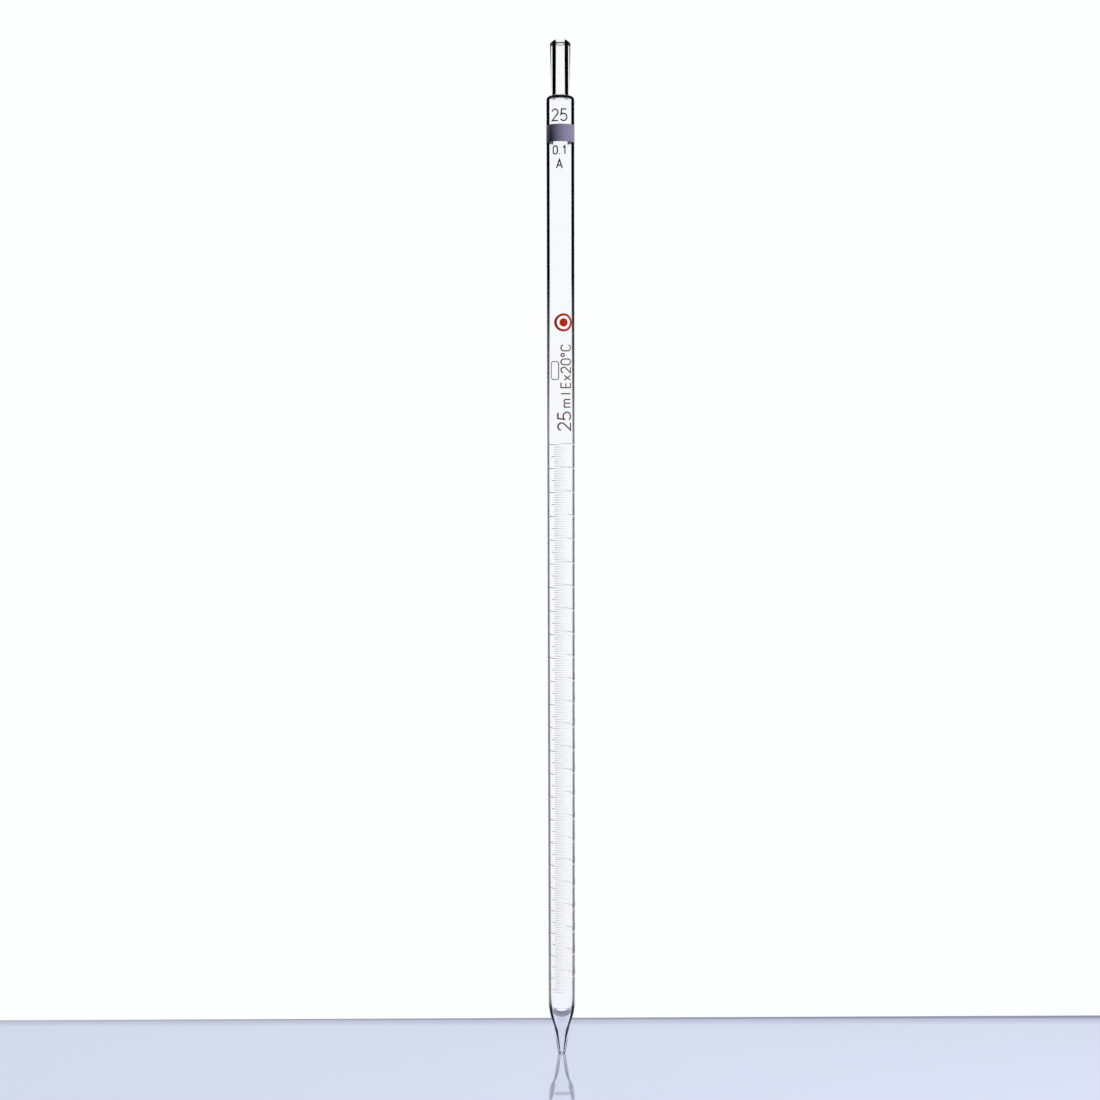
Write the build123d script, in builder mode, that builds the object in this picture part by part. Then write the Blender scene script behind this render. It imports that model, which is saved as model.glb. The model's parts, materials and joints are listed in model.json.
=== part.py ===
from build123d import *
from math import cos, floor, pi, radians, sin, tan
import os

os.makedirs("parts", exist_ok=True)

# 25 ml graduated pipette of clear borosilicate glass, class A, zero at the top, full delivery.
# Z runs up the tube's axis and the origin is the centre of the jet's end face.
# -Y is the front, the side that the scale faces, and +X is the reader's right.

# ---- driving dimensions, in mm and ml ----
LENGTH = 450.0
CAPACITY_ML = 25
BARREL_R = 6.0
BORE_R = 5.51
ORIFICE_R = 0.6
TIP_R = 1.7
JET_LENGTH = 23.2
SHOULDER_Z = 422.8
MOUTH_BORE_R = 2.3
MOUTH_R = 4.42
NECK_R = 3.83
ENAMEL = 0.06
LINE_WIDTH = 0.25
CLEAR_ABOVE_JET = 7.3

# ---- dimensions that follow ----
INK_R = BARREL_R + ENAMEL
MARKS_PER_ML = 10
GROUP_ML = 5


# ---- glass: one drawn tube, in the four lengths that it is worked into ----

# The hollow of the jet, used to know how much it holds.
with BuildPart() as jet_hollow:
    with BuildSketch(Plane.XZ):
        with BuildLine():
            wall = Spline(
                (BORE_R, JET_LENGTH),
                (4.6, 19.2),
                (2.1, 11.2),
                (1.15, 5.4),
                (ORIFICE_R, 0),
                tangents=((0, -1), (0, -1)),
            )
            Polyline(wall @ 1, (0, 0), (0, JET_LENGTH), wall @ 0)
        make_face()
    revolve(axis=Axis.Z)

# The jet: the barrel drawn down to a thick walled tip, its end ground and fire polished.
with BuildPart() as delivery_jet:
    with BuildSketch(Plane.XZ):
        with BuildLine():
            skin = Spline(
                (BARREL_R, JET_LENGTH),
                (5.3, 18.4),
                (3.55, 12.6),
                (2.95, 8.0),
                (TIP_R, 0),
                tangents=((0, -1), (-0.25, -1)),
            )
            Polyline(skin @ 1, (0, 0), (0, JET_LENGTH), skin @ 0)
        make_face()
    revolve(axis=Axis.Z)
    add(jet_hollow.part, mode=Mode.SUBTRACT)
    tip_edges = delivery_jet.edges().filter_by(GeomType.CIRCLE).group_by(Axis.Z)[0]
    fillet(tip_edges.sort_by(SortBy.RADIUS)[-1], radius=0.25)
delivery_jet.part.label = "delivery_jet"

# The measuring tube, straight and of even bore.
with BuildPart() as measuring_tube:
    with BuildSketch(Plane.XY.offset(JET_LENGTH)):
        Circle(BARREL_R)
        Circle(BORE_R, mode=Mode.SUBTRACT)
    extrude(amount=SHOULDER_Z - JET_LENGTH)
measuring_tube.part.label = "measuring_tube"

# The shoulder, where the barrel closes in to the suction tube: a dome, then a short flare.
DOME_R = 1.75
DOME_TURN = 90.0
DOME_Z = SHOULDER_Z + 2.2
FLARE_R = 0.42
INNER_DOME_R = 1.7
INNER_DOME_TURN = 80.0
INNER_DOME_Z = SHOULDER_Z + 1.6
INNER_FLARE_R = 0.6


def closing_curve(start, dome_r, turn, flare_r, end_r):
    """A dome from start, tangent to the barrel, then a run straight on, then a hollow flare that
    ends upright at end_r. Gives back where it ends."""
    dome = CenterArc((start[0] - dome_r, start[1]), dome_r, 0, turn)
    side = radians(turn)
    width = (dome @ 1).X - end_r - flare_r * (1 - cos(side))
    run_end = dome @ 1
    if width > 0.01:
        run_end = Vector(run_end.X - width, run_end.Y + width / tan(side))
        Line(dome @ 1, run_end)
    centre = (run_end.X + flare_r * cos(side), run_end.Y + flare_r * sin(side))
    flare = CenterArc(centre, flare_r, 180 + turn, -turn)
    return flare @ 1


with BuildPart() as shoulder:
    with BuildSketch(Plane.XZ):
        with BuildLine():
            Line((BARREL_R, SHOULDER_Z), (BARREL_R, DOME_Z))
            neck_foot = closing_curve((BARREL_R, DOME_Z), DOME_R, DOME_TURN, FLARE_R, NECK_R)
            Line((BORE_R, SHOULDER_Z), (BORE_R, INNER_DOME_Z))
            bore_foot = closing_curve(
                (BORE_R, INNER_DOME_Z), INNER_DOME_R, INNER_DOME_TURN, INNER_FLARE_R, MOUTH_BORE_R
            )
            Polyline(neck_foot, (MOUTH_BORE_R, neck_foot.Y), bore_foot)
            Line((BORE_R, SHOULDER_Z), (BARREL_R, SHOULDER_Z))
        make_face()
    revolve(axis=Axis.Z)
shoulder.part.label = "shoulder"
NECK_Z = neck_foot.Y

# The suction tube, thick walled, widening a little to a mouth ground to a blunt cone.
MOUTH_CONE = 1.4
MOUTH_FLAT_R = 2.8
with BuildPart() as suction_tube:
    with BuildSketch(Plane.XZ):
        with BuildLine():
            Polyline(
                (MOUTH_BORE_R, NECK_Z),
                (NECK_R, NECK_Z),
                (MOUTH_R, LENGTH - MOUTH_CONE),
                (MOUTH_FLAT_R, LENGTH),
                (MOUTH_BORE_R, LENGTH),
                close=True,
            )
        make_face()
    revolve(axis=Axis.Z)
    mouth_edges = suction_tube.edges().filter_by(GeomType.CIRCLE)
    fillet(mouth_edges.sort_by(SortBy.RADIUS)[-1], radius=0.6)
    rim_edges = suction_tube.edges().filter_by(GeomType.CIRCLE).group_by(Axis.Z)[-1]
    fillet(rim_edges.sort_by(SortBy.RADIUS)[-1], radius=0.15)
suction_tube.part.label = "suction_tube"


# ---- scale heights, from the volume below each line ----

BORE_AREA = pi * BORE_R**2
JET_VOLUME = jet_hollow.part.volume


def mark_z(ml):
    """Height of the line at which ml millilitres have run out of a pipette filled to zero."""
    return JET_LENGTH + ((CAPACITY_ML - ml) * 1000.0 - JET_VOLUME) / BORE_AREA


ZERO_Z = mark_z(0)
LAST_TENTH = floor((CAPACITY_ML - (JET_VOLUME + BORE_AREA * CLEAR_ABOVE_JET) / 1000.0) * MARKS_PER_ML)


# ---- enamel: lettering and lines fired onto the outside of the barrel ----


# Each character is a list of pen strokes in a cell one unit high. A stroke is drawn by a short function.


def bowl(x, y, radius):
    """A stroke that goes all the way round."""
    return lambda: CenterArc((x, y), radius, 0, 360)


def bow(x, y, radius, start, turn):
    """A stroke along part of a circle."""
    return lambda: CenterArc((x, y), radius, start, turn)


def pen(*points):
    """A stroke of straight runs."""
    return lambda: Polyline(*points) if len(points) > 2 else Line(*points)


def sweep_through(*points):
    """A stroke along the arc through three points."""
    return lambda: ThreePointArc(*points)


def figure_0():
    CenterArc((0.28, 0.72), 0.28, 0, 180)
    Line((0, 0.72), (0, 0.28))
    CenterArc((0.28, 0.28), 0.28, 180, 180)
    Line((0.56, 0.28), (0.56, 0.72))


def figure_2():
    head = CenterArc((0.28, 0.72), 0.28, 168, -203)
    Polyline(head @ 1, (0, 0), (0.56, 0))


def figure_5():
    belly = CenterArc((0.26, 0.31), 0.31, 136, -284)
    Polyline(belly @ 0, (0.09, 1), (0.52, 1))


def letter_c():
    CenterArc((0.3, 0.7), 0.3, 20, 160)
    Line((0, 0.7), (0, 0.3))
    CenterArc((0.3, 0.3), 0.3, 180, 160)


def arch(x):
    """One arch of the letter m, and the leg that it ends in."""

    def stroke():
        CenterArc((x + 0.19, 0.52), 0.19, 180, -180)
        Line((x + 0.38, 0.52), (x + 0.38, 0))

    return stroke


# The strokes of each character and its width, both as parts of its height.
CHARACTERS = {
    "0": ([figure_0], 0.56),
    "1": ([pen((0.12, 0.78), (0.36, 1), (0.36, 0))], 0.48),
    "2": ([figure_2], 0.56),
    "3": ([bow(0.27, 0.74, 0.26, 150, -230), bow(0.27, 0.26, 0.26, 80, -230)], 0.53),
    "4": ([pen((0.42, 0), (0.42, 1), (0, 0.3)), pen((0, 0.3), (0.58, 0.3))], 0.58),
    "5": ([figure_5], 0.57),
    "6": ([bowl(0.28, 0.28, 0.28), sweep_through((0, 0.28), (0.1, 0.72), (0.42, 1))], 0.56),
    "7": ([pen((0, 1), (0.56, 1), (0.18, 0))], 0.56),
    "8": ([bow(0.28, 0.76, 0.24, -60, 300), bowl(0.28, 0.27, 0.27)], 0.55),
    "9": ([bowl(0.28, 0.72, 0.28), sweep_through((0.56, 0.72), (0.46, 0.28), (0.14, 0))], 0.56),
    ".": ([pen((0.06, 0), (0.06, 0.1))], 0.12),
    "m": ([pen((0, 0), (0, 0.72)), arch(0), arch(0.38)], 0.76),
    "l": ([pen((0.06, 0), (0.06, 1))], 0.12),
    "E": ([pen((0.5, 1), (0, 1), (0, 0), (0.5, 0)), pen((0, 0.52), (0.44, 0.52))], 0.5),
    "x": ([pen((0, 0), (0.46, 0.7)), pen((0, 0.7), (0.46, 0))], 0.46),
    "°": ([bowl(0.16, 0.84, 0.15)], 0.32),
    "C": ([letter_c], 0.6),
    "A": ([pen((0, 0), (0.34, 1), (0.68, 0)), pen((0.11, 0.34), (0.57, 0.34))], 0.68),
    " ": ([], 0.3),
}
LETTER_GAP = 0.24


def upright(azimuth, z):
    """Plane touching the barrel at an azimuth from the front, for characters that stand upright."""
    a = radians(azimuth)
    return Plane((0, 0, z), x_dir=(cos(a), sin(a), 0), z_dir=(sin(a), -cos(a), 0))


def reading_up(azimuth, z):
    """The same, for characters turned a quarter turn, so that a line of them reads upwards."""
    a = radians(azimuth)
    return Plane((0, 0, z), x_dir=(0, 0, 1), z_dir=(sin(a), -cos(a), 0))


def text_width(text, height):
    return height * (sum(CHARACTERS[c][1] for c in text) + LETTER_GAP * (len(text) - 1))


def character(plane, name, height, stroke):
    """Adds one character, centred on a plane's origin, as a prism that runs out through the enamel."""
    strokes, width = CHARACTERS[name]
    corner = plane.from_local_coords((-width * height / 2, -height / 2))
    with BuildSketch(Plane(corner, x_dir=plane.x_dir, z_dir=plane.z_dir)) as cell:
        for draw in strokes:
            with BuildLine():
                draw()
            trace(line_width=stroke / height)
        scale(by=height)
    extrude(cell.sketch, amount=BARREL_R + 1, dir=plane.z_dir)


def line_of_text(text, height, azimuth, z, stroke):
    """Adds characters side by side round the barrel, centred at an azimuth and height."""
    x = -text_width(text, height) / 2
    for name in text:
        width = CHARACTERS[name][1] * height
        if name != " ":
            turn = (x + width / 2) / BARREL_R * 180 / pi
            character(upright(azimuth + turn, z), name, height, stroke)
        x += width + LETTER_GAP * height


def column_of_text(text, height, azimuth, z_foot, stroke, gap=LETTER_GAP):
    """Adds characters that read up the barrel from z_foot, their middles at an azimuth."""
    z = z_foot
    for name in text:
        width = CHARACTERS[name][1] * height
        if name != " ":
            character(reading_up(azimuth, z + width / 2), name, height, stroke)
        z += width + gap * height


def keep_enamel(z_low, z_high):
    """Keeps only what lies in the thin enamel layer on the barrel, between two heights."""
    with BuildPart(mode=Mode.PRIVATE) as layer:
        with BuildSketch(Plane.XY.offset(z_low)):
            Circle(INK_R)
            Circle(BARREL_R, mode=Mode.SUBTRACT)
        extrude(amount=z_high - z_low)
    add(layer.part, mode=Mode.INTERSECT)


def enamel_lines(heights, line_width, arc):
    """Adds lines that run round the front of the barrel for an arc, one at each height."""
    start = radians(-90 - arc / 2)
    section_plane = Plane((0, 0, 0), x_dir=(cos(start), sin(start), 0), z_dir=(sin(start), -cos(start), 0))
    with BuildSketch(section_plane) as section:
        with Locations(*[(BARREL_R + ENAMEL / 2, z) for z in heights]):
            Rectangle(ENAMEL, line_width)
    revolve(section.sketch, axis=Axis.Z, revolution_arc=arc)


# The colour code band, open at the back of the tube.
BAND_LOW = 407.2
BAND_HEIGHT = 7.3
BAND_ARC = 294.0
with BuildPart() as colour_band:
    enamel_lines([BAND_LOW + BAND_HEIGHT / 2], BAND_HEIGHT, BAND_ARC)
colour_band.part.label = "colour_band"

# Lettering at the head of the barrel: capacity, value of one division, and accuracy class.
HEAD_AZIMUTH = -4.5
with BuildPart() as capacity_number:
    line_of_text("25", 4.8, HEAD_AZIMUTH, 418.2, 0.54)
    keep_enamel(BAND_LOW + BAND_HEIGHT, SHOULDER_Z)
capacity_number.part.label = "capacity_number"

with BuildPart() as division_value:
    line_of_text("0.1", 3.4, HEAD_AZIMUTH, 403.6, 0.54)
    keep_enamel(400, BAND_LOW)
division_value.part.label = "division_value"

with BuildPart() as class_letter:
    line_of_text("A", 3.6, HEAD_AZIMUTH, 397.8, 0.54)
    keep_enamel(394, 401)
class_letter.part.label = "class_letter"

# A plain ring with a disc in it, and an empty frame, where a maker would print marks of its own.
with BuildPart() as ring_emblem:
    with BuildSketch(upright(12, ZERO_Z + 52.6)) as emblem:
        Circle(3.9)
        Circle(2.9, mode=Mode.SUBTRACT)
        Circle(1.8)
    extrude(emblem.sketch, amount=BARREL_R + 1, dir=upright(12, 0).z_dir)
    keep_enamel(ZERO_Z + 45, ZERO_Z + 60)
ring_emblem.part.label = "ring_emblem"

with BuildPart() as label_frame:
    with BuildSketch(upright(-26, ZERO_Z + 32)) as frame_outline:
        RectangleRounded(3.9, 8.1, 1.2)
        RectangleRounded(3.2, 7.4, 0.85, mode=Mode.SUBTRACT)
    extrude(frame_outline.sketch, amount=BARREL_R + 1, dir=upright(-26, 0).z_dir)
    keep_enamel(ZERO_Z + 25, ZERO_Z + 40)
label_frame.part.label = "label_frame"

# The inscription that reads up the barrel above the zero line.
with BuildPart() as capacity_inscription:
    column_of_text("25", 5.7, 15.5, ZERO_Z + 6.2, 0.6)
    column_of_text("ml", 4.4, 22, ZERO_Z + 16.2, 0.52, gap=0.5)
    keep_enamel(ZERO_Z + 4, ZERO_Z + 24)
capacity_inscription.part.label = "capacity_inscription"

with BuildPart() as temperature_inscription:
    column_of_text("Ex20°C", 4.4, 22, ZERO_Z + 24.6, 0.5)
    keep_enamel(ZERO_Z + 24, ZERO_Z + 46)
temperature_inscription.part.label = "temperature_inscription"

export_step(delivery_jet.part, "parts/delivery_jet.step")
export_step(measuring_tube.part, "parts/measuring_tube.step")
export_step(shoulder.part, "parts/shoulder.step")
export_step(suction_tube.part, "parts/suction_tube.step")
export_step(colour_band.part, "parts/colour_band.step")
export_step(capacity_number.part, "parts/capacity_number.step")
export_step(division_value.part, "parts/division_value.step")
export_step(class_letter.part, "parts/class_letter.step")
export_step(ring_emblem.part, "parts/ring_emblem.step")
export_step(label_frame.part, "parts/label_frame.step")
export_step(capacity_inscription.part, "parts/capacity_inscription.step")
export_step(temperature_inscription.part, "parts/temperature_inscription.step")

# The scale, in lengths of five millilitres: a ring at each whole one, long marks at the halves,
# short marks at the tenths between, and a number above each ring at the reader's right.
HALF_MARK_ARC = 86.0
TENTH_MARK_ARC = 58.0
NUMBER_AZIMUTH = 74.0
NUMBER_HEIGHT = 2.4
NUMBER_STROKE = 0.3

for first_ml in range(0, CAPACITY_ML, GROUP_ML):
    tenths = range(first_ml * MARKS_PER_ML, min((first_ml + GROUP_ML) * MARKS_PER_ML, LAST_TENTH + 1))
    whole = [n for n in tenths if n % 10 == 0]
    half = [n for n in tenths if n % 10 == 5]
    rest = [n for n in tenths if n % 5]
    group = f"{first_ml:02d}"

    with BuildPart() as ring_marks:
        enamel_lines([mark_z(n / MARKS_PER_ML) for n in whole], LINE_WIDTH, 360)
    ring_marks.part.label = "ring_marks_" + group
    export_step(ring_marks.part, f"parts/ring_marks_{group}.step")

    with BuildPart() as half_marks:
        enamel_lines([mark_z(n / MARKS_PER_ML) for n in half], LINE_WIDTH, HALF_MARK_ARC)
    half_marks.part.label = "half_marks_" + group
    export_step(half_marks.part, f"parts/half_marks_{group}.step")

    with BuildPart() as tenth_marks:
        enamel_lines([mark_z(n / MARKS_PER_ML) for n in rest], LINE_WIDTH, TENTH_MARK_ARC)
    tenth_marks.part.label = "tenth_marks_" + group
    export_step(tenth_marks.part, f"parts/tenth_marks_{group}.step")

    with BuildPart() as numbers:
        for n in whole:
            middle = mark_z(n / MARKS_PER_ML) + LINE_WIDTH + 0.4 + NUMBER_HEIGHT / 2
            line_of_text(str(n // MARKS_PER_ML), NUMBER_HEIGHT, NUMBER_AZIMUTH, middle, NUMBER_STROKE)
        keep_enamel(mark_z(first_ml + GROUP_ML), mark_z(first_ml) + 5)
    numbers.part.label = "numbers_" + group
    export_step(numbers.part, f"parts/numbers_{group}.step")
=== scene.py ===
"""A 25 ml graduated pipette: its glass, its fired enamel, and a pale studio to show them in."""

import json
import math

import bmesh
import bpy
from mathutils import Matrix, Vector


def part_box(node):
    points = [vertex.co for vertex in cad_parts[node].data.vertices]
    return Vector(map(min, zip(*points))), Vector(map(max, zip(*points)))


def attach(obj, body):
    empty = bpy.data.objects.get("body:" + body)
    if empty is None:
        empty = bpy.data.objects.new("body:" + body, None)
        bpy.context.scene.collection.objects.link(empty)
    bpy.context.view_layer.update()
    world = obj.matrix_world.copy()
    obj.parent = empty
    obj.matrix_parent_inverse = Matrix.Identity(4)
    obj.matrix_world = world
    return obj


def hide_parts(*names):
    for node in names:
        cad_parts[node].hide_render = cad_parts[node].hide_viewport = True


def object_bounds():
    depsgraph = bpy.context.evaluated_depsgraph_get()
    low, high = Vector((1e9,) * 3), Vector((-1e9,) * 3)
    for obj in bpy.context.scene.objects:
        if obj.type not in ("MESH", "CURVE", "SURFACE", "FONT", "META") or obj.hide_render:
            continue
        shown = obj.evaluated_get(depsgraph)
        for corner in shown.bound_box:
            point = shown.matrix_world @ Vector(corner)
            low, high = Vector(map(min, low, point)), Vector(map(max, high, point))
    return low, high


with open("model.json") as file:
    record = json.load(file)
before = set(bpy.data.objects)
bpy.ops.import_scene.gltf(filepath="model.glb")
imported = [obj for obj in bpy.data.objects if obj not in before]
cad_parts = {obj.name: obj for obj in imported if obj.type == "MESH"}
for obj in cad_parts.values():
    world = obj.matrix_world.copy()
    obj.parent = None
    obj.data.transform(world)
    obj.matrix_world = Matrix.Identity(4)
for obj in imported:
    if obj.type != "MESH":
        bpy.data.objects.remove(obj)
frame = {"nodes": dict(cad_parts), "record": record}
cad_low, cad_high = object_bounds()

bl_info = {
    "name": "Graduated Pipette",
    "version": (1, 0, 0),
    "blender": (4, 5, 0),
    "location": "View3D > Sidebar > Pipette",
    "description": "Builds a glass graduated pipette with fired enamel around its CAD frame",
    "category": "Add Mesh",
}

MM = 0.001
INNER_SHADE = "inner_shade"
OUTER_SHADE = "outer_shade"
EDGE_SHADE = "edge_shade"
NO_SHADE = (2, 2, 0)  # limits past the outline, so nothing is shaded
FUSED = 0.004 * MM  # how far the enamel is sunk into the glass that it is fired onto
SMOOTH_ANGLE = math.radians(40)  # edges sharper than this stay sharp
BODY = "root"
SENSOR_MM = 36

# ---- places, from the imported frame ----

MOUNTS = {mount["name"]: mount for mount in frame["record"]["mounts"]}
BARREL_R = MOUNTS["barrel"]["dims"]["r_mm"] * MM
MOUTH_BORE_R = MOUNTS["mouth_bore"]["dims"]["r_mm"] * MM
JET_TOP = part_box("delivery_jet")[1].z
SHOULDER_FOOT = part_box("shoulder")[0].z
NECK_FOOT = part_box("suction_tube")[0].z
MOUTH_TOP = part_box("suction_tube")[1].z
MOUTH_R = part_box("suction_tube")[1].x
ENAMEL_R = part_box("colour_band")[1].x
CENTRE = (cad_low + cad_high) / 2

# ---- shapes of the glass ----

# the delivery jet, as (radius, height) in mm from its tip
JET_OUTSIDE = ((1.7, 0.25), (2.95, 8.0), (3.55, 12.6), (5.3, 18.4))
JET_HOLLOW = ((4.6, 19.2), (2.1, 11.2), (1.15, 5.4), (0.6, 0.15))
ORIFICE_R = 0.6 * MM
TIP_R = 1.7 * MM
TIP_ROUND = 0.25 * MM
LIP_ROUND = 0.15 * MM  # at the inner edge of the tip and of the mouth
JET_STEPS = 10  # rings between two knots
# heights in mm above the jet where the barrel gets a ring of points
BARREL_RINGS = (1, 4, 100, 262, 287, 327)
# the shoulder: heights of its dome's feet above its own foot, and the radii of its curves
DOME_FOOT = 2.2 * MM
DOME_ROUND = 1.75 * MM
INNER_DOME_FOOT = 1.6 * MM
INNER_DOME_ROUND = 1.7 * MM
INNER_DOME_TURN = 80  # degrees
NECK_FILLET = 0.42 * MM
INNER_FILLET = 0.6 * MM
INNER_FILLET_TOP = 0.5 * MM  # above the foot of the neck
# the suction tube, which widens a little toward a blunt cone
NECK_R = 3.83 * MM
NECK_RINGS = 6
NECK_WIDENS_TO = MOUTH_R - 0.04 * MM
CONE_FOOT = MOUTH_TOP - 1.4 * MM
CONE_ROUND = 0.6 * MM
CONE_TOP = ((2.95 * MM, 0.1 * MM), (2.85 * MM, 0.03 * MM), (2.72 * MM, 0.0))  # radius, depth

# Painted shade in the glass: dark bands in its walls stand in for dark surroundings seen through
# them. Each row holds a height, an inner shade (first and last distance from the tube's middle,
# darkness), an outer shade (the same), the painted darkness of light that is totally reflected and
# the painted darkness of light that leaves. Heights and distances are in mm. Values between two
# heights are blended. The walls are thick at the jet and the neck.
SHADES = (
    (0.0, (9, 9, 0.0), (1.3, 1.68, 0.7), 1.0, 0.0),
    (2.3, (9, 9, 0.0), (1.65, 1.98, 0.85), 1.0, 0.0),
    (5.1, (9, 9, 0.0), (2.05, 2.42, 0.8), 1.0, 0.0),
    (8.0, (9, 9, 0.0), (2.7, 3.05, 0.3), 1.0, 0.0),
    (9.5, (9, 9, 0.0), (2.9, 3.2, 0.0), 1.0, 0.0),
    (13.8, (-1, 0.0, 0.0), (2.8, 3.7, 0.0), 1.0, 0.0),
    (16.6, (-1, 0.0, 0.0), (3.5, 4.4, 0.7), 1.0, 0.0),
    # the rows from 18.6 to 22.5 paint a dark belt of shade across the whole jet
    (18.6, (-1, 0.0, 0.5), (4.1, 4.8, 0.9), 1.0, 0.0),
    (19.2, (-1, 2.4, 0.5), (4.2, 4.9, 0.9), 1.0, 0.0),
    (20.4, (-1, 4.8, 0.5), (4.4, 5.2, 0.9), 1.0, 0.0),
    (22.0, (-1, 5.4, 0.5), (4.6, 5.4, 0.9), 0.9, 0.0),
    (22.5, (-1, 5.4, 0.0), (4.6, 5.5, 0.9), 0.9, 0.0),
    (27.0, (9, 9, 0.0), (5.05, 5.68, 0.7), 0.15, 0.0),
    (285.0, (9, 9, 0.0), (5.05, 5.68, 0.65), 0.15, 0.0),
    (310.0, (9, 9, 0.0), (4.9, 5.8, 0.85), 0.6, 0.0),
    (350.0, (9, 9, 0.0), (4.68, 5.86, 1.0), 1.0, 0.0),
    # the rows from 425.1 to 426.95 paint a dark ring of shade across the shoulder
    (425.1, (-1, 6.3, 0.0), (4.68, 5.86, 1.0), 1.0, 0.0),
    (425.6, (-1, 6.3, 0.9), (4.7, 6.0, 1.0), 1.0, 0.0),
    (426.4, (-1, 6.3, 0.9), (4.75, 6.2, 1.0), 1.0, 0.0),
    (426.75, (-1, 6.3, 0.0), (4.8, 6.3, 1.0), 1.0, 0.0),
    (426.95, (-1, 0.0, 0.0), (4.8, 6.3, 1.0), 1.0, 0.0),
    (427.15, (2.0, 3.36, 1.0), (3.6, 3.7, 0.0), 1.0, 0.0),
    (434.0, (2.0, 3.36, 1.0), (3.75, 4.0, 0.35), 1.0, 0.0),
    (441.0, (1.97, 3.36, 1.0), (3.86, 4.25, 0.9), 1.0, 0.0),
    (448.35, (1.97, 3.36, 1.0), (3.95, 4.4, 1.0), 1.0, 0.0),
    # the rows 448.38 and 448.7 paint a dark line on light leaving the foot of the mouth's cone
    (448.38, (1.9, 3.6, 1.0), (3.95, 9, 1.0), 1.0, 1.0),
    (448.7, (1.9, 9, 1.0), (3.95, 9, 1.0), 1.0, 1.0),
    (448.72, (1.9, 9, 1.0), (3.95, 9, 1.0), 1.0, 0.0),
    (450.0, (1.9, 9, 1.0), (3.95, 9, 1.0), 1.0, 0.0),
)

# ---- the enamels and the stage ----

LETTERING_GRAIN = 0.3  # mm, size of the unevenness of the frit
BAND_GRAIN = 0.6  # mm
BAND_SEGMENTS = 240
BAND_EDGE = 0.02 * MM
SLAB_LENGTH = 1.4
SLAB_THICK = 12 * MM
SLAB_GAP = 0.3 * MM  # between the tip and the slab's face
SLAB_ROUND = 0.5 * MM
SLAB_TURN = math.radians(0.3)
# the painted dark edge of the slab fades over this width
SLAB_FADE = 10 * MM  # from the slab's back edge to its full colour
# soft boxes, aimed at the pipette's middle: name, place, width and height in metres, power in watts
LAMPS = (
    ("key_softbox", (1.0, -0.85, 0.62), 0.4, 0.9, 27),
    ("fill_softbox", (-1.0, -0.9, 0.7), 0.6, 0.6, 0.05),
    ("back_softbox", (-0.5, 1.2, 0.8), 0.6, 0.6, 3),
    ("top_softbox", (-0.6, 0.55, 1.2), 0.9, 0.9, 13),
)


# ---- settings that a user would change ----


class PipetteGlassSettings(bpy.types.PropertyGroup):
    """Sizes and colour of the drawn glass."""

    bore_radius: bpy.props.FloatProperty(
        name="Bore radius",
        description="Radius of the measuring bore",
        default=5.51 * MM,
        unit="LENGTH",
    )
    segments: bpy.props.IntProperty(
        name="Segments", description="Faces round the tube", default=192, min=48
    )
    tint: bpy.props.StringProperty(
        name="Tint", description="Colour of the clear glass, as a hex value", default="#FEFEFF"
    )
    # painted shade: the dark colour painted into the glass's wall bands and its totally reflected
    # light
    edge: bpy.props.StringProperty(
        name="Edge", description="Colour of the glass where light can't leave it", default="#08080E"
    )
    shine: bpy.props.StringProperty(
        name="Shine", description="Colour of the room that the glass reflects", default="#ECECF0"
    )
    edge_softness: bpy.props.FloatProperty(
        name="Edge softness",
        description="Width over which dark walls fade, as a part of the radius",
        default=0.02,
    )
    ior: bpy.props.FloatProperty(
        name="IOR", description="Refractive index of borosilicate glass", default=1.474
    )


class PipetteEnamelSettings(bpy.types.PropertyGroup):
    """Colours of the fired enamels."""

    band: bpy.props.StringProperty(
        name="Band", description="Colour code band, as a hex value", default="#7A7590"
    )
    band_opening: bpy.props.FloatProperty(
        name="Band opening",
        description="Degrees that the band leaves open at the back",
        default=66.0,
    )
    grey: bpy.props.StringProperty(
        name="Grey lettering", description="Lettering at the head of the barrel", default="#0E0E12"
    )
    brown: bpy.props.StringProperty(
        name="Brown lettering", description="Inscription above the scale", default="#541614"
    )
    red: bpy.props.StringProperty(
        name="Red emblem", description="Ring emblem above the inscription", default="#A8280E"
    )
    scale: bpy.props.StringProperty(
        name="Scale numbers", description="Numbers of the scale", default="#8C7472"
    )
    lines: bpy.props.StringProperty(
        name="Scale lines", description="Fine lines of the scale", default="#E6E4E3"
    )


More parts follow.
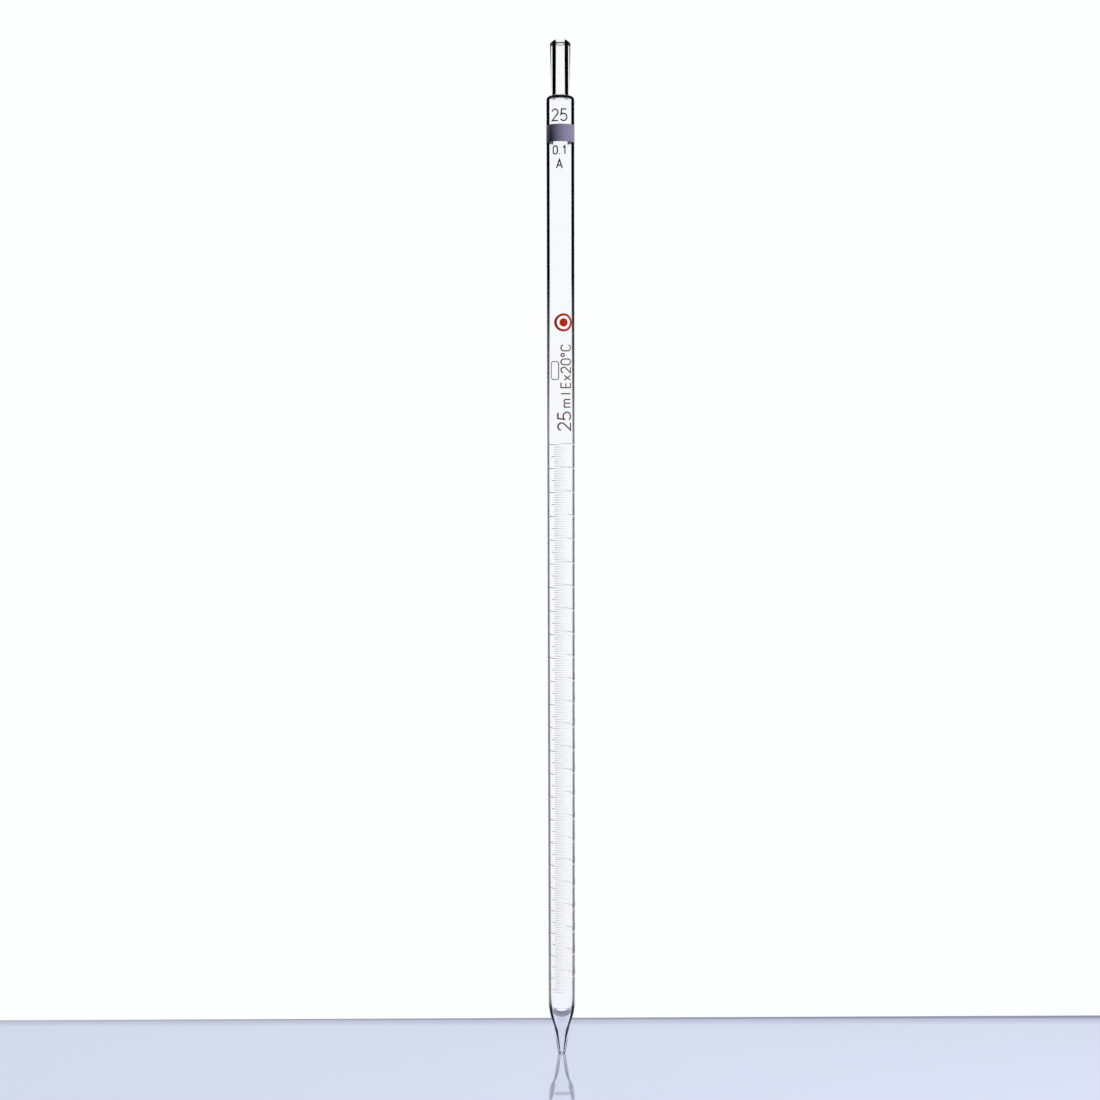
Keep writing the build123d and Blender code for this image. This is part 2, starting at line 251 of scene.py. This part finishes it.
class PipetteStageSettings(bpy.types.PropertyGroup):
    """The slab, the backdrop, the light and the camera."""

    backdrop: bpy.props.StringProperty(
        name="Backdrop", description="Colour behind the pipette", default="#FDFFFF"
    )
    slab: bpy.props.StringProperty(
        name="Slab", description="Colour of the glossy slab", default="#D7DDEF"
    )
    # painted shade and reflection: the dark colour along the slab's back edge
    painted_slab_edge: bpy.props.StringProperty(
        name="Slab edge", description="Colour along the back edge of the slab", default="#9698AE"
    )
    slab_back: bpy.props.FloatProperty(
        name="Slab behind",
        description="From the pipette to the back edge",
        default=0.0402,
        unit="LENGTH",
    )
    slab_front: bpy.props.FloatProperty(
        name="Slab in front",
        description="From the pipette to the front edge",
        default=0.08,
        unit="LENGTH",
    )
    camera_distance: bpy.props.FloatProperty(
        name="Camera distance", description="From the pipette's axis", default=0.7024, unit="LENGTH"
    )
    camera_side: bpy.props.FloatProperty(
        name="Camera side",
        description="Sideways from the pipette's axis",
        default=-0.00488,
        unit="LENGTH",
    )
    camera_height: bpy.props.FloatProperty(
        name="Camera height", description="Above the slab", default=0.3115, unit="LENGTH"
    )
    camera_roll: bpy.props.FloatProperty(
        name="Camera roll",
        description="Turn of the camera about its view",
        default=0.0024,
        subtype="ANGLE",
    )
    camera_tilt: bpy.props.FloatProperty(
        name="Camera tilt", description="Below level", default=math.radians(6.5), subtype="ANGLE"
    )
    lens: bpy.props.FloatProperty(
        name="Lens", description="Focal length in mm on a 36 mm sensor", default=52.4
    )


# ---- small helpers ----


def linear(hex_colour):
    """An sRGB hex value as a linear colour with full alpha."""
    channels = [int(hex_colour[i : i + 2], 16) / 255 for i in (1, 3, 5)]
    return [c / 12.92 if c <= 0.04045 else ((c + 0.055) / 1.055) ** 2.4 for c in channels] + [1.0]


def add_node(tree, kind, settings=None, links=None):
    """Adds a node, sets its properties and inputs, and links its inputs from other sockets."""
    node = tree.nodes.new(kind)
    for key, value in (settings or {}).items():
        if isinstance(key, int) or key in node.inputs:
            node.inputs[key].default_value = value
        else:
            setattr(node, key, value)
    for key, socket in (links or {}).items():
        tree.links.new(socket, node.inputs[key])
    return node


def new_material(name):
    """An empty material and its node tree."""
    material = bpy.data.materials.new(name)
    material.use_nodes = True
    material.node_tree.nodes.clear()
    return material, material.node_tree


def deselect_all():
    """Leaves edit mode and drops the selection."""
    if bpy.context.mode != "OBJECT":
        bpy.ops.object.mode_set(mode="OBJECT")
    bpy.ops.object.select_all(action="DESELECT")


def finish_piece(piece, name, material):
    """Names the piece, puts its place in its mesh and gives it its material."""
    piece.name = name
    piece.data.name = name
    deselect_all()
    piece.select_set(True)
    bpy.context.view_layer.objects.active = piece
    bpy.ops.object.transform_apply(location=True, rotation=True, scale=True)
    piece.data.materials.clear()
    piece.data.materials.append(material)


def arc(centre, radius, start, turn, steps):
    """Points along part of a circle in the (radius, height) plane, without its first point."""
    points = []
    for i in range(1, steps + 1):
        a = math.radians(start + turn * i / steps)
        points.append((centre[0] + radius * math.cos(a), centre[1] + radius * math.sin(a)))
    return points


def flare(foot, turn, radius, end_r):
    """The run straight on from a dome's end, then the hollow curve that ends upright at end_r."""
    side = math.radians(turn)
    width = foot[0] - end_r - radius * (1 - math.cos(side))
    run_end = (foot[0] - width, foot[1] + width / math.tan(side))
    centre = (run_end[0] + radius * math.cos(side), run_end[1] + radius * math.sin(side))
    return [run_end, *arc(centre, radius, 180 + turn, -turn, 8)]


def in_metres(points_mm):
    """Points in mm as points in metres."""
    return [tuple(value * MM for value in point) for point in points_mm]


def smooth_run(knots, steps):
    """A smooth curve through (radius, height) knots, without its first point."""
    ends = [knots[0], *knots, knots[-1]]
    points = []
    for before, a, b, after in zip(ends, ends[1:], ends[2:], ends[3:]):
        a_out = [a[i] + (b[i] - before[i]) / 6 for i in range(2)]
        b_in = [b[i] - (after[i] - a[i]) / 6 for i in range(2)]
        for s in range(1, steps + 1):
            t = s / steps
            u = 1 - t
            points.append(
                tuple(
                    u**3 * a[i] + 3 * u * u * t * a_out[i] + 3 * u * t * t * b_in[i] + t**3 * b[i]
                    for i in range(2)
                )
            )
    return points


def turned(outline, segments):
    """A closed outline of (radius, height) points, drawn up ring by ring and closed on itself."""
    deselect_all()
    r, z = outline[0]
    bpy.ops.mesh.primitive_circle_add(vertices=segments, radius=r, location=(0, 0, z))
    piece = bpy.context.object
    bpy.ops.object.mode_set(mode="EDIT")
    bpy.ops.mesh.select_all(action="SELECT")
    for r_next, z_next in [*outline[1:], outline[0]]:
        bpy.ops.mesh.extrude_region_move(TRANSFORM_OT_translate={"value": (0, 0, z_next - z)})
        bpy.ops.transform.resize(value=(r_next / r, r_next / r, 1), center_override=(0, 0, z_next))
        r, z = r_next, z_next
    bpy.ops.mesh.select_all(action="SELECT")
    bpy.ops.mesh.remove_doubles(threshold=1e-7)
    bpy.ops.mesh.normals_make_consistent(inside=False)
    bpy.ops.object.mode_set(mode="OBJECT")
    return piece


# ---- materials ----


def borosilicate_glass(settings):
    """Drawn borosilicate tube, fire polished: clear and colourless through the middle, bright along
    its very edge, with painted black shade in bands of its walls and a painted dark reflection
    where light is totally reflected, standing in for dark surroundings."""
    material, tree = new_material("borosilicate_glass")
    place = add_node(tree, "ShaderNodeTexCoord")
    # how far round the tube the light goes in, 0 at its middle and 1 at its outline
    flat = add_node(
        tree,
        "ShaderNodeVectorMath",
        {"operation": "MULTIPLY", 1: (1, 1, 0)},
        {0: place.outputs["Object"]},
    )
    outward = add_node(
        tree, "ShaderNodeVectorMath", {"operation": "NORMALIZE"}, {0: flat.outputs[0]}
    )
    facing = add_node(tree, "ShaderNodeLayerWeight", {"Blend": 0.5}, {"Normal": outward.outputs[0]})
    cosine = add_node(
        tree, "ShaderNodeMath", {"operation": "SUBTRACT", 0: 1.0}, {1: facing.outputs["Facing"]}
    )
    square = add_node(
        tree, "ShaderNodeMath", {"operation": "POWER", 1: 2.0}, {0: cosine.outputs[0]}
    )
    rest = add_node(
        tree, "ShaderNodeMath", {"operation": "SUBTRACT", 0: 1.0}, {1: square.outputs[0]}
    )
    across = add_node(tree, "ShaderNodeMath", {"operation": "SQRT"}, {0: rest.outputs[0]})

    def step_at(limit, low, high):
        """A smooth step from low to high where the light passes a limit."""
        soft = settings.edge_softness
        start = add_node(tree, "ShaderNodeMath", {"operation": "SUBTRACT", 1: soft}, {0: limit})
        end = add_node(tree, "ShaderNodeMath", {"operation": "ADD", 1: soft}, {0: limit})
        return add_node(
            tree,
            "ShaderNodeMapRange",
            {"interpolation_type": "SMOOTHSTEP", "To Min": low, "To Max": high},
            {"Value": across.outputs[0], "From Min": start.outputs[0], "From Max": end.outputs[0]},
        )

    def product(one, other):
        return add_node(
            tree, "ShaderNodeMath", {"operation": "MULTIPLY"}, {0: one, 1: other}
        ).outputs[0]

    def larger(one, other):
        return add_node(
            tree, "ShaderNodeMath", {"operation": "MAXIMUM"}, {0: one, 1: other}
        ).outputs[0]

    def shade_between(name):
        """Painted shade between two distances from the tube's middle, from a vector on each point.
        """
        wall = add_node(tree, "ShaderNodeAttribute", {"attribute_name": name})
        limits = add_node(tree, "ShaderNodeSeparateXYZ", None, {0: wall.outputs["Vector"]})
        started = step_at(limits.outputs["X"], 0.0, 1.0)
        ended = step_at(limits.outputs["Y"], 1.0, 0.0)
        return product(product(started.outputs[0], ended.outputs[0]), limits.outputs["Z"])

    surface = add_node(tree, "ShaderNodeNewGeometry")
    leaving = surface.outputs["Backfacing"]
    entering = add_node(tree, "ShaderNodeMath", {"operation": "SUBTRACT", 0: 1.0}, {1: leaving})
    edges = add_node(tree, "ShaderNodeAttribute", {"attribute_name": EDGE_SHADE})
    edge_shades = add_node(tree, "ShaderNodeSeparateXYZ", None, {0: edges.outputs["Vector"]})
    # painted shade in the wall bands, on light going into the glass
    shade = product(
        larger(shade_between(INNER_SHADE), shade_between(OUTER_SHADE)), entering.outputs[0]
    )
    # painted shade on light leaving the glass at the foot of the mouth's cone
    painted_exit_shade = product(edge_shades.outputs["Y"], leaving)
    # the clear tint turns to the painted dark edge colour where shade is painted
    clear = add_node(
        tree,
        "ShaderNodeMix",
        {"data_type": "RGBA", 6: linear(settings.tint), 7: linear(settings.edge)},
        {0: larger(shade, painted_exit_shade)},
    )
    fresnel = add_node(tree, "ShaderNodeFresnel", {"IOR": settings.ior})
    total = add_node(
        tree,
        "ShaderNodeMapRange",
        {"interpolation_type": "SMOOTHSTEP", "From Min": 0.15, "From Max": 0.8},
        {"Value": fresnel.outputs[0]},
    )
    # painted dark reflection: totally reflected light turned dark, in place of dark surroundings
    painted_dark_reflection = product(product(total.outputs[0], leaving), edge_shades.outputs["X"])
    # the reflected colour turns to the painted dark edge colour in the shade bands
    shine = add_node(
        tree,
        "ShaderNodeMix",
        {"data_type": "RGBA", 6: linear(settings.shine), 7: linear(settings.edge)},
        {0: larger(shade, painted_dark_reflection)},
    )
    through = add_node(
        tree,
        "ShaderNodeBsdfRefraction",
        {"Roughness": 0.0, "IOR": settings.ior},
        {"Color": clear.outputs[2]},
    )
    back = add_node(
        tree, "ShaderNodeBsdfGlossy", {"Roughness": 0.0}, {"Color": shine.outputs[2]}
    )
    glass = add_node(
        tree,
        "ShaderNodeMixShader",
        None,
        {0: fresnel.outputs[0], 1: through.outputs[0], 2: back.outputs[0]},
    )
    add_node(tree, "ShaderNodeOutputMaterial", None, {"Surface": glass.outputs[0]})
    return material


def glossy_slab(settings):
    """Coated glass slab, polished: a pale lavender body under a mirror-like face, with a painted
    shade and painted dark reflection along its back edge."""
    material, tree = new_material("coated_glass_slab")
    place = add_node(tree, "ShaderNodeTexCoord")
    split = add_node(tree, "ShaderNodeSeparateXYZ", None, {0: place.outputs["Object"]})
    # painted shade and reflection: the colour darkens toward the slab's back edge
    inward = add_node(
        tree,
        "ShaderNodeMapRange",
        {"From Min": settings.slab_back, "From Max": settings.slab_back - SLAB_FADE},
        {"Value": split.outputs["Y"]},
    )
    colour = add_node(tree, "ShaderNodeValToRGB", None, {0: inward.outputs[0]})
    dark, full = linear(settings.painted_slab_edge), linear(settings.slab)
    stops = colour.color_ramp.elements
    stops[0].position, stops[0].color = 0.0, dark
    stops[1].position, stops[1].color = 1.0, full
    stops.new(0.16).color = dark
    stops.new(0.28).color = [0.45 * a + 0.55 * b for a, b in zip(dark, full)]
    base = add_node(tree, "ShaderNodeBsdfDiffuse", None, {"Color": colour.outputs[0]})
    mirror = add_node(
        tree, "ShaderNodeBsdfGlossy", {"Roughness": 0.02}, {"Color": colour.outputs[0]}
    )
    mix = add_node(
        tree, "ShaderNodeMixShader", {0: 0.6}, {1: base.outputs[0], 2: mirror.outputs[0]}
    )
    add_node(tree, "ShaderNodeOutputMaterial", None, {"Surface": mix.outputs[0]})
    return material


def fired_enamel(name, hex_colour, grain_mm, roughness=0.5, gloss=0.1):
    """Screen printed enamel, fired on: satin, with the small unevenness of its frit."""
    material, tree = new_material(name)
    place = add_node(tree, "ShaderNodeTexCoord")
    frit = add_node(
        tree,
        "ShaderNodeTexNoise",
        {"Scale": 1 / (grain_mm * MM), "Detail": 3.0},
        {"Vector": place.outputs["Object"]},
    )
    shade = add_node(
        tree,
        "ShaderNodeMapRange",
        {"From Min": 0.3, "From Max": 0.7, "To Min": 0.82, "To Max": 1.12},
        {"Value": frit.outputs[0]},
    )
    colour = add_node(
        tree,
        "ShaderNodeMix",
        {"data_type": "RGBA", "blend_type": "MULTIPLY", 0: 1.0, 6: linear(hex_colour)},
        {7: shade.outputs[0]},
    )
    bump = add_node(
        tree,
        "ShaderNodeBump",
        {"Strength": 0.15, "Distance": 0.01 * MM},
        {"Height": frit.outputs[0]},
    )
    enamel = add_node(
        tree,
        "ShaderNodeBsdfPrincipled",
        {"Roughness": roughness, "IOR": 1.5, "Specular IOR Level": gloss},
        {"Base Color": colour.outputs[2], "Normal": bump.outputs[0]},
    )
    add_node(tree, "ShaderNodeOutputMaterial", None, {"Surface": enamel.outputs[0]})
    return material


# ---- pieces ----


class PIPETTE_OT_glass_tube(bpy.types.Operator):
    """Turn the whole glass of the pipette as one closed piece, outside and bore"""

    bl_idname = "pipette.glass_tube"
    bl_label = "Glass Tube"

    def execute(self, context):
        settings = context.scene.pipette_glass
        skin = BARREL_R + FUSED
        bore = settings.bore_radius
        dome_foot = SHOULDER_FOOT + DOME_FOOT
        inner_dome_foot = SHOULDER_FOOT + INNER_DOME_FOOT

        outside = [(ORIFICE_R, LIP_ROUND)]
        outside += arc((ORIFICE_R + LIP_ROUND, LIP_ROUND), LIP_ROUND, 180, 90, 4)
        outside += arc((TIP_R - TIP_ROUND, TIP_ROUND), TIP_ROUND, -90, 90, 6)
        outside += smooth_run([*in_metres(JET_OUTSIDE), (skin, JET_TOP)], JET_STEPS)
        outside += [(skin, JET_TOP + height * MM) for height in BARREL_RINGS]
        outside += [(skin, dome_foot - 1 * MM), (skin, dome_foot)]
        outside += arc((skin - DOME_ROUND, dome_foot), DOME_ROUND, 0, 90, 10)
        dome_r, dome_top = outside[-1]
        outside += arc((dome_r, dome_top + NECK_FILLET), dome_r - NECK_R, 270, -90, 6)
        neck_foot, neck_top = outside[-1], (NECK_WIDENS_TO, CONE_FOOT - 0.5 * MM)
        outside += [
            tuple(a + part / NECK_RINGS * (b - a) for a, b in zip(neck_foot, neck_top))
            for part in range(1, NECK_RINGS + 1)
        ]
        cone_side = CONE_FOOT - 0.25 * MM
        outside += [(MOUTH_R, cone_side)]
        outside += arc((MOUTH_R - CONE_ROUND, cone_side), CONE_ROUND, 0, 40, 5)
        outside += [(r, MOUTH_TOP - depth) for r, depth in CONE_TOP]
        lip = (MOUTH_BORE_R + LIP_ROUND, MOUTH_TOP - LIP_ROUND)
        outside += arc(lip, LIP_ROUND, 90, 90, 4)

        inside = [(bore, JET_TOP), (bore, JET_TOP + 1 * MM)]
        inside += [(bore, inner_dome_foot - 1 * MM), (bore, inner_dome_foot)]
        inner_dome = (bore - INNER_DOME_ROUND, inner_dome_foot)
        inside += arc(inner_dome, INNER_DOME_ROUND, 0, INNER_DOME_TURN, 10)
        inside += flare(inside[-1], INNER_DOME_TURN, INNER_FILLET, MOUTH_BORE_R)
        inside += [(MOUTH_BORE_R, NECK_FOOT + INNER_FILLET_TOP)]
        # the hollow ends at the tip's inner edge, where the outside starts
        jet = smooth_run([(bore, JET_TOP), *in_metres(JET_HOLLOW)], JET_STEPS)[:-1]
        tube = turned([*outside, *reversed(inside), *jet], settings.segments)
        finish_piece(tube, "glass_tube", borosilicate_glass(settings))
        bpy.ops.object.shade_smooth()
        self.shade_walls(tube)
        tube.visible_shadow = False  # light passes through clear glass
        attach(tube, BODY)
        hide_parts("suction_tube", "shoulder", "measuring_tube", "delivery_jet")
        return {"FINISHED"}

    def shade_walls(self, tube):
        """Notes on each point of the glass where painted shade falls in its walls, and how dark its
        totally reflected and leaving light are painted. Limits are kept as parts of the glass's
        radius at that point."""
        layers = [
            tube.data.attributes.new(name, "FLOAT_VECTOR", "POINT").data
            for name in (INNER_SHADE, OUTER_SHADE, EDGE_SHADE)
        ]
        for point in tube.data.vertices:
            radius = point.co.xy.length
            height = point.co.z / MM
            for low, high in zip(SHADES, SHADES[1:]):
                if height <= high[0] + 0.01:
                    break
            part = (height - low[0]) / (high[0] - low[0])
            is_bore = point.normal.xy.dot(point.co.xy) < -0.1 * radius  # it faces the axis
            for layer, from_low, to_high in zip(layers, low[1:3], high[1:3]):
                first, last, darkness = (a + part * (b - a) for a, b in zip(from_low, to_high))
                limits = (first * MM / radius, last * MM / radius, darkness)
                layer[point.index].vector = NO_SHADE if is_bore else limits
            painted_dark_reflection, leaving = (a + part * (b - a) for a, b in zip(low[3:], high[3:]))
            layers[2][point.index].vector = (painted_dark_reflection, 0 if is_bore else leaving, 0)


class PIPETTE_OT_colour_band(bpy.types.Operator):
    """Print the colour code band round the head of the barrel, open at the back"""

    bl_idname = "pipette.colour_band"
    bl_label = "Colour Band"

    def execute(self, context):
        settings = context.scene.pipette_enamel
        low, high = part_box("colour_band")
        deselect_all()
        inner_r = BARREL_R + FUSED / 2
        bpy.ops.mesh.primitive_circle_add(
            vertices=BAND_SEGMENTS, radius=inner_r, location=(0, 0, low.z)
        )
        band = bpy.context.object
        bpy.ops.object.mode_set(mode="EDIT")
        bpy.ops.mesh.select_all(action="SELECT")
        bpy.ops.mesh.extrude_region_move(TRANSFORM_OT_translate={"value": (0, 0, high.z - low.z)})
        bpy.ops.mesh.select_all(action="DESELECT")
        mesh = bmesh.from_edit_mesh(band.data)
        for face in mesh.faces:
            middle = face.calc_center_median()
            from_back = math.degrees(math.atan2(abs(middle.x), middle.y))
            face.select = from_back < settings.band_opening / 2
        bmesh.update_edit_mesh(band.data)
        bpy.ops.mesh.delete(type="FACE")
        bpy.ops.mesh.select_all(action="SELECT")
        bpy.ops.mesh.normals_make_consistent(inside=False)
        bpy.ops.object.mode_set(mode="OBJECT")
        wall = band.modifiers.new("enamel", "SOLIDIFY")
        wall.thickness = ENAMEL_R - inner_r
        wall.offset = 1.0
        bpy.ops.object.modifier_apply(modifier=wall.name)
        edge = band.modifiers.new("fired edge", "BEVEL")
        edge.width = BAND_EDGE
        edge.segments = 2
        bpy.ops.object.modifier_apply(modifier=edge.name)
        enamel = fired_enamel("band_enamel", settings.band, BAND_GRAIN, roughness=0.4, gloss=0.03)
        finish_piece(band, "band_of_enamel", enamel)
        bpy.ops.object.shade_smooth_by_angle(angle=SMOOTH_ANGLE)
        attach(band, BODY)
        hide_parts("colour_band")
        return {"FINISHED"}


class PIPETTE_OT_markings(bpy.types.Operator):
    """Give each printed marking the fired enamel it is made of"""

    bl_idname = "pipette.markings"
    bl_label = "Enamel Markings"

    def execute(self, context):
        settings = context.scene.pipette_enamel
        colours = {
            "grey_enamel": settings.grey,
            "brown_enamel": settings.brown,
            "red_enamel": settings.red,
            "scale_enamel": settings.scale,
            "fine_line_enamel": settings.lines,
        }
        enamels = {
            name: fired_enamel(name, colour, LETTERING_GRAIN) for name, colour in colours.items()
        }
        for part in frame["record"]["subparts"]:
            if part["material_slot"] in enamels:
                is_line = "marks" in part["node"]
                slots = frame["nodes"][part["node"]].data.materials
                slots.clear()
                slots.append(enamels["fine_line_enamel" if is_line else part["material_slot"]])
        return {"FINISHED"}


class PIPETTE_OT_stage(bpy.types.Operator):
    """Set out the slab, the backdrop, the lights and the camera"""

    bl_idname = "pipette.stage"
    bl_label = "Stage"

    def execute(self, context):
        settings = context.scene.pipette_stage
        self.slab(settings)
        self.world(context, settings)
        self.lights()
        self.camera(context, settings)
        context.scene.view_settings.view_transform = "Standard"
        return {"FINISHED"}

    def slab(self, settings):
        """A glossy slab, its back edge just behind the pipette."""
        deselect_all()
        depth = settings.slab_back + settings.slab_front
        middle = (settings.slab_back - settings.slab_front) / 2
        bpy.ops.mesh.primitive_cube_add(
            size=1,
            location=(0, middle, -SLAB_THICK / 2 - SLAB_GAP),
            scale=(SLAB_LENGTH, depth, SLAB_THICK),
        )
        slab = bpy.context.object
        bpy.ops.object.transform_apply(location=True, rotation=True, scale=True)
        bpy.ops.object.mode_set(mode="EDIT")
        bpy.ops.mesh.select_all(action="SELECT")
        bpy.ops.mesh.bevel(offset=SLAB_ROUND, segments=3)
        bpy.ops.mesh.select_all(action="SELECT")
        bpy.ops.transform.rotate(
            value=-SLAB_TURN, orient_axis="Z", center_override=(0, settings.slab_back, 0)
        )
        bpy.ops.object.mode_set(mode="OBJECT")
        finish_piece(slab, "slab", glossy_slab(settings))
        bpy.ops.object.shade_smooth_by_angle(angle=SMOOTH_ANGLE)

    def world(self, context, settings):
        """An even backdrop, seen directly and in the glass. It doesn't light the enamel."""
        world = bpy.data.worlds.new("studio")
        context.scene.world = world
        world.use_nodes = True
        world.node_tree.nodes.clear()
        light = add_node(
            world.node_tree,
            "ShaderNodeBackground",
            {"Color": linear(settings.backdrop), "Strength": 1.0},
        )
        add_node(world.node_tree, "ShaderNodeOutputWorld", None, {"Surface": light.outputs[0]})
        world.cycles_visibility.diffuse = False

    def lights(self):
        """Soft boxes that light the enamel and the slab; the glass is lit by the backdrop."""
        for name, place, width, height, watts in LAMPS:
            lamp = bpy.data.lights.new(name, "AREA")
            lamp.shape = "RECTANGLE"
            lamp.size, lamp.size_y, lamp.energy = width, height, watts
            box = bpy.data.objects.new(name, lamp)
            bpy.context.scene.collection.objects.link(box)
            box.location = place
            box.rotation_euler = (CENTRE - Vector(place)).to_track_quat("-Z", "Y").to_euler()
            box.visible_glossy = False
            box.visible_transmission = False

    def camera(self, context, settings):
        """The camera, in front of the pipette and tilted down a little."""
        lens = bpy.data.cameras.new("camera")
        lens.lens = settings.lens
        lens.sensor_width = SENSOR_MM
        camera = bpy.data.objects.new("camera", lens)
        context.scene.collection.objects.link(camera)
        camera.location = (settings.camera_side, -settings.camera_distance, settings.camera_height)
        tilt = Matrix.Rotation(math.pi / 2 - settings.camera_tilt, 3, "X")
        roll = Matrix.Rotation(-settings.camera_roll, 3, "Z")
        camera.rotation_euler = (tilt @ roll).to_euler()
        context.scene.camera = camera


class PIPETTE_PT_panel(bpy.types.Panel):
    """Lists the pieces in the 3D view's sidebar"""

    bl_idname = "PIPETTE_PT_panel"
    bl_label = "Graduated Pipette"
    bl_space_type = "VIEW_3D"
    bl_region_type = "UI"
    bl_category = "Pipette"

    def draw(self, context):
        for operator in OPERATORS:
            self.layout.operator(operator.bl_idname)


SETTINGS = {
    "pipette_glass": PipetteGlassSettings,
    "pipette_enamel": PipetteEnamelSettings,
    "pipette_stage": PipetteStageSettings,
}
OPERATORS = (
    PIPETTE_OT_glass_tube,
    PIPETTE_OT_colour_band,
    PIPETTE_OT_markings,
    PIPETTE_OT_stage,
)


def register():
    for cls in (*SETTINGS.values(), *OPERATORS, PIPETTE_PT_panel):
        bpy.utils.register_class(cls)
    for name, group in SETTINGS.items():
        setattr(bpy.types.Scene, name, bpy.props.PointerProperty(type=group))


def unregister():
    for name in SETTINGS:
        delattr(bpy.types.Scene, name)
    for cls in reversed((*SETTINGS.values(), *OPERATORS, PIPETTE_PT_panel)):
        bpy.utils.unregister_class(cls)


def main():
    register()
    bpy.ops.pipette.glass_tube()
    bpy.ops.pipette.colour_band()
    bpy.ops.pipette.markings()
    bpy.ops.pipette.stage()


if __name__ == "__main__":
    main()
